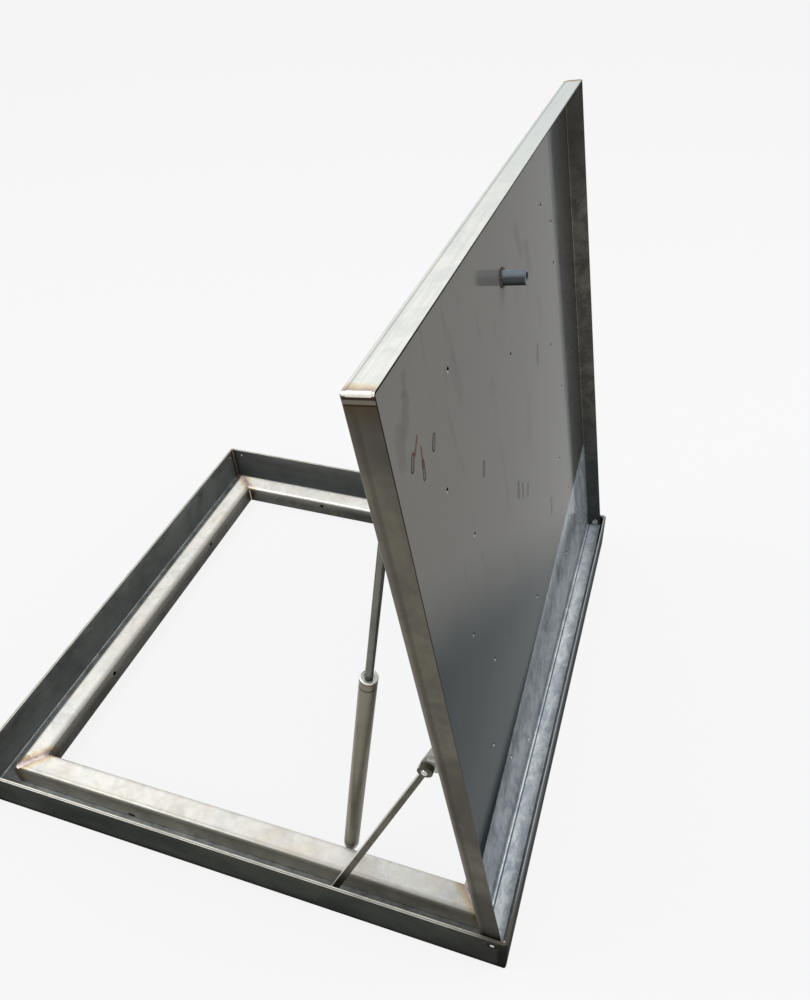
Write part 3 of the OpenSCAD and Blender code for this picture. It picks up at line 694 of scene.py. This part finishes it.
def tray_finish():
    """Smooth rolled sheet of the lid: a grey floor, a free wall painted pale as lit, and side walls painted
    darker as shaded.
    """
    material, f, shader = new_finish("tray sheet", metallic=0.5, edge=0.45, sheen=0.02)
    at = f.use(LID_PLACE)
    along, across, height, place = at["Along"], at["Across"], at["Height"], at["Place"]
    to_free, to_far, to_up = at["Faces free edge"], at["Faces far"], at["Faces up"]
    clouds = f.use(CLOUDS, Place=place, Broad=6.0, Small=34.0)
    broad, small = clouds["Broad"], clouds["Small"]
    brush = f.use(BRUSHED, Place=place, Lines=(5.0, 420.0, 420.0), Depth=1.0)
    near_wall = tray_near_wall(f, at, broad, small)
    side_wall = f.mix(f.ramp(across, 0.0, 0.1), near_wall, tray_far_wall(f, at, broad, small))
    under = f.mix(broad, tone(120, 121, 119), tone(150, 151, 148))
    # which of them shows, with its painted light or shade, by the way the face looks and the end of the lid
    # it lies at
    side_face = f.against(to_far)
    free_end = f.ramp(along, 0.6, 0.7)
    hinge_face = f.times(f.most(f.towards(to_free), f.against(to_free)), f.fall(along, 0.1, 0.2))
    colour = f.mix(side_face, tray_floor(f, at, broad), side_wall)
    colour = f.mix(f.towards(to_far), colour, near_wall)
    colour = f.mix(f.times(f.towards(to_free), free_end), colour, tray_free_wall(f, at, small))
    colour = f.mix(f.times(f.against(to_free), free_end), colour, near_wall)
    colour = f.mix(hinge_face, colour, tray_hinge_wall(f, at))
    colour = f.mix(f.against(to_up), colour, under)
    rim_edge = f.times(f.ramp(height, PAN_RIM - 0.0007, PAN_RIM - 0.0002), f.ramp(to_up, 0.5, 0.9))
    colour = f.mix(rim_edge, colour, tone(30, 31, 30))
    # walls of the weld holes: pale where they catch the light, dark elsewhere
    hole = f.times(
        f.band(height, PAN_FLOOR - 0.001, 0.0008, 0.0002), f.fall(f.absolute(to_up), 0.3, 0.6),
        f.fall(f.absolute(across), 0.405, 0.41), f.fall(along, 0.822, 0.826),
    )
    hole_colour = f.mix(f.ramp(to_free, 0.66, 0.80), tone(10, 10, 10), tone(252, 253, 253))
    colour = f.mix(hole, colour, hole_colour)
    # straw tint round each free corner, a pale painted highlight on its rounding, with a dark line below it
    from_corner = f.join(f.minus(along, LID_LENGTH), f.minus(f.absolute(across), LID_HALF_WIDTH), 0.0)
    distance = f.vector("LENGTH", from_corner).outputs["Value"]
    tint = f.use(HEAT_TINT, Distance=distance, Reach=0.015, Place=place)
    colour = f.stain(f.times(tint["Share"], f.blend(side_face, 0.9, 0.45)), colour, tint["Tint"])
    round_corner_highlight = f.times(
        f.ramp(to_free, 0.12, 0.35), f.ramp(f.absolute(to_far), 0.12, 0.35), f.ramp(along, 0.82, 0.83),
    )
    colour = f.mix(round_corner_highlight, colour, tone(236, 232, 222))
    under_corner = f.times(f.band(along, 0.8290, 0.0005, 0.0005), side_face)
    colour = f.mix(f.times(under_corner, 0.8), colour, tone(52, 40, 30))
    f.feed(shader.inputs["Base Color"], colour)
    flat = f.ramp(to_up, 0.5, 0.9)
    f.feed(shader.inputs["Metallic"], f.blend(hinge_face, 0.5, 0.2))
    wall_rough, floor_rough = f.blend(small, 0.24, 0.36), f.blend(broad, 0.08, 0.12)
    f.feed(shader.inputs["Roughness"], f.blend(flat, wall_rough, floor_rough))
    raise_surface(f, shader, f.blend(f.times(flat, 0.9), brush["Height"], small), 0.04)
    return material


def plain_metal(
    name, dark, light, rough_low, rough_high, lid=False, lines=(500.0, 500.0, 20.0), bump=0.2, grain=0.10,
    highlight_side=None,
):
    """Metal with cloudy colour, brushed lines and dark specks, and a painted highlight on the side that
    looks to the free side, if one is given.
    """
    material, f, shader = new_finish(name, metallic=0.6)
    place = f.use(LID_PLACE if lid else FRAME_PLACE)["Place"]
    clouds = f.use(CLOUDS, Place=place, Broad=18.0, Small=110.0)
    brush = f.use(BRUSHED, Place=place, Lines=lines, Depth=1.0)
    colour = f.mix(clouds["Broad"], dark, light)
    colour = f.mix(f.times(brush["Lines"], grain), colour, dark)
    colour = f.mix(f.times(clouds["Specks"], 0.30), colour, tone(40, 38, 34))
    if highlight_side:
        # a painted highlight on faces that look towards the free side
        facing_x = f.split(f.add("ShaderNodeTexCoord").outputs["Normal"])[0]
        colour = f.mix(f.fall(facing_x, -0.80, -0.60), colour, highlight_side)
    f.feed(shader.inputs["Base Color"], colour)
    f.feed(shader.inputs["Roughness"], f.blend(clouds["Small"], rough_low, rough_high))
    raise_surface(f, shader, f.blend(0.5, brush["Height"], clouds["Small"]), bump)
    return material


def cylinder_finish():
    """Satin tube of the strut: painted shade in a groove under its cap, a painted highlight on its rolled
    rim and down its free side, and a foot painted bright.
    """
    material, f, shader = new_finish("strut cylinder", metallic=0.5, sheen=0.2)
    at = f.use(FRAME_PLACE)
    place, x, height = at["Place"], at["X"], at["Height"]
    broad = f.use(CLOUDS, Place=place, Broad=18.0, Small=110.0)["Broad"]
    brush = f.use(BRUSHED, Place=place, Lines=(260.0, 260.0, 6.0), Depth=1.0)
    up_strut = f.plus(
        f.times(f.minus(x, STRUT_FOOT.x), STRUT_WAY.x),
        f.times(f.minus(height, STRUT_FOOT.z), STRUT_WAY.z),
    )
    colour = f.mix(broad, tone(116, 112, 98), tone(126, 121, 107))
    colour = f.mix(f.times(brush["Lines"], 0.05), colour, tone(96, 92, 80))
    # a painted highlight down the side that looks towards the free side
    facing_x = f.split(f.add("ShaderNodeTexCoord").outputs["Normal"])[0]
    colour = f.mix(f.ramp(facing_x, -0.9, -0.5, 0.5, 0.0), colour, tone(160, 156, 140))
    # painted shade in the groove and in the line under the rim, and a painted highlight on the rim
    groove = f.band(up_strut, CYLINDER_TOP - 0.015, 0.0008, 0.0005)
    colour = f.mix(f.times(groove, 0.8), colour, tone(52, 44, 38))
    under_rim_shade = f.band(up_strut, CYLINDER_TOP - 0.0025, 0.0006, 0.0008)
    colour = f.mix(f.times(under_rim_shade, 0.6), colour, tone(60, 56, 48))
    rim = f.ramp(up_strut, CYLINDER_TOP - 0.0011, CYLINDER_TOP - 0.0007)
    colour = f.mix(rim, colour, tone(250, 250, 246))
    # the foot painted bright as a chrome ball's highlight, with two rings of painted shade
    colour = f.mix(f.fall(up_strut, 0.0235, 0.0241), colour, tone(240, 239, 233))
    for ring, half_width in ((0.0242, 0.0008), (0.0185, 0.0006)):
        colour = f.mix(f.band(up_strut, ring, half_width, 0.0005), colour, tone(24, 22, 18))
    f.feed(shader.inputs["Base Color"], colour)
    f.feed(shader.inputs["Roughness"], f.blend(broad, 0.27, 0.31))
    raise_surface(f, shader, broad, 0.02)
    return material


def socket_finish():
    """Turned tube of the lifting socket: a bluish painted highlight where it looks to the free edge, painted
    shade below, grey rim.
    """
    material, f, shader = new_finish("socket tube", metallic=0.5, sheen=0.1)
    at = f.use(LID_PLACE)
    to_free = at["Faces free edge"]
    clouds = f.use(CLOUDS, Place=at["Place"], Broad=30.0, Small=140.0)
    rings = f.use(BRUSHED, Place=at["Place"], Lines=(30.0, 30.0, 900.0), Depth=1.0)
    # painted shade below, turning into a bluish painted highlight towards the free edge
    colour = f.mix(f.ramp(to_free, -0.75, 0.15), tone(24, 25, 25), tone(104, 110, 112))
    colour = f.mix(f.ramp(to_free, 0.30, 0.75), colour, tone(182, 195, 210))
    colour = f.mix(f.times(clouds["Broad"], 0.25), colour, tone(84, 88, 90))
    colour = f.mix(f.times(rings["Lines"], 0.08), colour, tone(60, 62, 62))
    colour = f.mix(f.ramp(at["Faces up"], 0.5, 0.9), colour, tone(84, 89, 94))
    f.feed(shader.inputs["Base Color"], colour)
    f.feed(shader.inputs["Roughness"], f.blend(clouds["Small"], 0.2, 0.32))
    raise_surface(f, shader, rings["Height"], 0.03)
    return material


def weld_finish():
    """Rippled weld metal: pinkish grey, with a pale painted highlight at the tray's corners, and dark round
    the lifting socket.
    """
    material, f, shader = new_finish("weld bead")
    spot = f.add("ShaderNodeTexCoord").outputs["Object"]
    colour = f.colours(
        f.noise(spot, 120.0, 3.0, 0.6), (0.30, tone(140, 126, 124)), (0.42, tone(166, 150, 148)),
        (0.54, tone(190, 176, 170)), (0.72, tone(206, 192, 184)),
    )
    _, y, height = f.split(spot)
    outwards = f.absolute(y)
    # a pale painted highlight on the welds up the tray's corners
    tray_corner_highlight = f.times(f.ramp(height, 0.60, 0.70, 0.0, 0.8), f.ramp(outwards, 0.38, 0.40))
    colour = f.mix(tray_corner_highlight, colour, tone(240, 234, 222))
    # dark on the ring of weld round the lifting socket
    round_socket = f.times(f.ramp(height, 0.60, 0.70), f.ramp(outwards, 0.10, 0.15, 0.88, 0.0))
    colour = f.mix(round_socket, colour, tone(30, 25, 21))
    f.feed(shader.inputs["Base Color"], colour)
    f.feed(shader.inputs["Roughness"], f.blend(f.noise(spot, 300.0), 0.25, 0.5))
    raise_surface(f, shader, f.noise(spot, 500.0, 3.0, 0.6), 0.4, 0.0003)
    return material


def rubber_finish(name="seal rubber"):
    """Matt black rubber with a dusty bloom."""
    material, f, shader = new_finish(name, metallic=0.0)
    spot = f.add("ShaderNodeTexCoord").outputs["Object"]
    clouds = f.use(CLOUDS, Place=spot, Broad=30.0, Small=240.0)
    colour = f.mix(f.times(clouds["Small"], 0.4), tone(16, 16, 16), tone(40, 39, 37))
    f.feed(shader.inputs["Base Color"], colour)
    f.feed(shader.inputs["Roughness"], f.blend(clouds["Broad"], 0.55, 0.8))
    raise_surface(f, shader, clouds["Small"], 0.3, 0.0003)
    return material


FINISHES = {
    "upstand": upstand_finish(),
    "box_tube": tube_finish(),
    "tray": tray_finish(),
    "rib": plain_metal(
        "rib sheet", tone(110, 111, 109), tone(140, 141, 138), 0.25, 0.4,
        lid=True, lines=(20.0, 500.0, 500.0),
    ),
    "bracket": plain_metal("bracket plate", tone(150, 150, 144), tone(186, 186, 180), 0.25, 0.4, lid=True),
    "weld": weld_finish(),
    "seal": rubber_finish(),
    "bush": rubber_finish("bush plastic"),
    "bright": plain_metal(
        "bright plated steel", tone(188, 188, 184), tone(222, 222, 219), 0.08, 0.16, bump=0.05,
    ),
    "cylinder": cylinder_finish(),
    "piston_rod": plain_metal(
        "piston rod", tone(96, 96, 90), tone(114, 113, 106), 0.12, 0.2,
        lines=(20.0, 20.0, 300.0), bump=0.02, grain=0.05,
    ),
    "stay": plain_metal(
        "stay bar", tone(80, 77, 65), tone(98, 94, 81), 0.28, 0.4,
        lines=(400.0, 400.0, 16.0), bump=0.05, highlight_side=tone(232, 230, 222),
    ),
    "socket": socket_finish(),
}

for part in frame["record"]["subparts"]:
    mesh = frame["nodes"][part["node"]].data
    mesh.materials.clear()
    mesh.materials.append(FINISHES[part["material_slot"]])


# Added pieces

def finish_piece(name, draw, body, slot):
    """A smooth piece of its own, drawn by a function, that rides on a body."""
    mesh = bpy.data.meshes.new(name)
    work = bmesh.new()
    draw(work)
    bmesh.ops.recalc_face_normals(work, faces=work.faces)
    work.to_mesh(mesh)
    work.free()
    for face in mesh.polygons:
        face.use_smooth = True
    piece = bpy.data.objects.new(name, mesh)
    bpy.context.scene.collection.objects.link(piece)
    mesh.materials.append(FINISHES[slot])
    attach(piece, body)


def bead_mesh(start, end, outward, width, height, depth=1.0):
    """A rippled weld bead laid from start to end, standing up towards outward, with ripples of a depth."""
    length = (end - start).length
    way = (end - start).normalized()
    up = (outward - way * outward.dot(way)).normalized()
    side = way.cross(up)
    steps = max(8, int(length / (RIPPLE_PITCH / 4)))
    arc = [math.pi * k / 8 for k in range(9)]

    def draw(work):
        rings = []
        for i in range(steps + 1):
            gone = length * i / steps
            ripple = 1.0 - depth * (1.0 - abs(math.sin(math.pi * gone / RIPPLE_PITCH)))
            taper = min(1.0, 0.35 + min(i, steps - i) / 6)
            half = width / 2 * (0.88 + 0.12 * ripple) * taper
            tall = height * (0.72 + 0.28 * ripple) * taper
            rings.append([
                work.verts.new(
                    start + way * (gone + RIPPLE_LEAN * math.sin(turn))
                    + side * (half * math.cos(turn)) + up * (tall * math.sin(turn) - BEAD_SINK)
                )
                for turn in arc
            ])
        for one, two in zip(rings, rings[1:]):
            for k in range(8):
                work.faces.new((one[k], one[k + 1], two[k + 1], two[k]))
        for ring in (rings[0], rings[-1]):
            work.faces.new(ring)

    return draw


def make_tube_welds():
    """A bead over each mitre of the box tube, and one down each inner corner."""
    corners = {"near_left": (-1, -1), "near_right_shade": (1, -1), "far_left": (-1, 1), "far_right": (1, 1)}
    for name, (x, y) in corners.items():
        outwards = Vector((x, y, 0))
        outer_end = outwards * (TUBE_OUTSIDE - MITRE_CLEAR) + UPWARDS * TUBE_TOP
        inner_end = outwards * (TUBE_INSIDE + MITRE_CLEAR) + UPWARDS * TUBE_TOP
        mitre = bead_mesh(outer_end, inner_end, UPWARDS, *MITRE_BEAD)
        finish_piece(f"tube_weld_{name}", mitre, "frame", "weld")
        head = outwards * TUBE_INSIDE + UPWARDS * INSIDE_TOP
        foot = outwards * TUBE_INSIDE + UPWARDS * INSIDE_FOOT
        inside = bead_mesh(head, foot, -outwards, *INSIDE_BEAD)
        finish_piece(f"tube_weld_inside_{name}", inside, "frame", "weld")


def make_tray_welds():
    """A bead up each free corner of the tray, a little inside its sharp corner."""
    for name, sign in (("near", -1), ("far", 1)):
        along, across = LID_LENGTH - TRAY_CLEAR, sign * (LID_HALF_WIDTH - TRAY_CLEAR)
        foot, head = on_lid(along, across, PAN_FLOOR + 0.0015), on_lid(along, across, PAN_RIM - 0.0005)
        away = LID_ALONG + ACROSS * sign
        bead = bead_mesh(foot, head, away, *TRAY_BEAD, depth=0.15)
        finish_piece(f"tray_weld_{name}", bead, "lid", "weld")


def make_socket_weld():
    """Rippled ring of weld where the lifting socket meets the tray."""
    turns, around = 96, 10

    def draw(work):
        rings = []
        for i in range(turns):
            turn = 2 * math.pi * i / turns
            size = SOCKET_RING_SIZE * (0.8 + 0.25 * abs(math.sin(turn * 9)))
            ring = []
            for k in range(around):
                roll = 2 * math.pi * k / around
                out = SOCKET_RING + size * math.cos(roll)
                height = SOCKET_RING_HEIGHT + size * 0.9 * math.sin(roll)
                point = on_lid(SOCKET_ALONG + out * math.cos(turn), out * math.sin(turn), height)
                ring.append(work.verts.new(point))
            rings.append(ring)
        for one, two in zip(rings, rings[1:] + rings[:1]):
            for k in range(around):
                after = (k + 1) % around
                work.faces.new((one[k], one[after], two[after], two[k]))

    finish_piece("socket_weld", draw, "lid", "weld")


make_tube_welds()
make_tray_welds()
make_socket_weld()


# Floor, light and camera

def make_floor():
    """A pale floor that catches soft shadows and glows to the eye like paper."""
    mesh = bpy.data.meshes.new("floor")
    work = bmesh.new()
    bmesh.ops.create_grid(work, x_segments=2, y_segments=2, size=FLOOR_SIZE)
    bmesh.ops.translate(work, verts=work.verts, vec=(0, 0, -FLOOR_DROP))
    work.to_mesh(mesh)
    work.free()
    floor = bpy.data.objects.new("floor", mesh)
    bpy.context.scene.collection.objects.link(floor)
    material = bpy.data.materials.new("pale floor")
    material.use_nodes = True
    material.node_tree.nodes.clear()
    f = Finish(material.node_tree)
    paint = f.add("ShaderNodeBsdfDiffuse", Color=tone(*PAPER)).outputs[0]
    glow = f.add("ShaderNodeEmission", Color=tone(*PAPER), Strength=1.0).outputs[0]
    both = f.add("ShaderNodeMixShader", {}, i0=f.times(f.seen(), FLOOR_GLOW), i1=paint, i2=glow)
    out = f.add("ShaderNodeOutputMaterial")
    f.tree.links.new(both.outputs[0], out.inputs[0])
    mesh.materials.append(material)


def make_world():
    """Pale light from all round, a little brighter to the eye than it lights."""
    world = bpy.data.worlds.new("pale studio")
    bpy.context.scene.world = world
    world.use_nodes = True
    world.node_tree.nodes.clear()
    f = Finish(world.node_tree)
    light = f.add("ShaderNodeBackground", Color=tone(*PAPER), Strength=0.75).outputs[0]
    shown = f.add("ShaderNodeBackground", Color=tone(*PAPER), Strength=1.0).outputs[0]
    both = f.add("ShaderNodeMixShader", {}, i0=f.seen(), i1=light, i2=shown)
    out = f.add("ShaderNodeOutputWorld")
    f.tree.links.new(both.outputs[0], out.inputs[0])


def make_lamp(name, place, aim, power):
    lamp = bpy.data.lights.new(name, "AREA")
    lamp.shape = "DISK"
    lamp.size = LAMP_SIZE
    lamp.energy = power
    holder = bpy.data.objects.new(name, lamp)
    bpy.context.scene.collection.objects.link(holder)
    holder.location = place
    holder.rotation_euler = (Vector(aim) - Vector(place)).to_track_quat("-Z", "Y").to_euler()


def make_camera():
    """Stands where the photographer stood."""
    ahead = Vector((
        -math.sin(CAMERA_TURN) * math.cos(CAMERA_DOWN),
        math.cos(CAMERA_TURN) * math.cos(CAMERA_DOWN),
        -math.sin(CAMERA_DOWN),
    ))
    level = Vector((math.cos(CAMERA_TURN), math.sin(CAMERA_TURN), 0))
    above = level.cross(ahead)
    right = level * math.cos(CAMERA_TILT) + above * math.sin(CAMERA_TILT)
    up = above * math.cos(CAMERA_TILT) - level * math.sin(CAMERA_TILT)
    lens = bpy.data.cameras.new("camera")
    lens.sensor_fit = "HORIZONTAL"
    lens.sensor_width = SENSOR_WIDTH
    lens.lens = LENS_LENGTH
    lens.shift_x, lens.shift_y = LENS_SHIFT
    lens.clip_start = 0.01
    lens.clip_end = 100.0
    camera = bpy.data.objects.new("camera", lens)
    bpy.context.scene.collection.objects.link(camera)
    turned = Matrix((right, up, -ahead)).transposed().to_4x4()
    camera.matrix_world = Matrix.Translation(CAMERA_PLACE) @ turned
    bpy.context.scene.camera = camera


make_floor()
make_world()
make_lamp("lamp over the free side", FREE_SIDE_LAMP, FREE_SIDE_AIM, FREE_SIDE_POWER)
make_lamp("lamp over the hinge side", HINGE_SIDE_LAMP, HINGE_SIDE_AIM, HINGE_SIDE_POWER)
make_camera()
bpy.context.scene.view_settings.view_transform = "Standard"
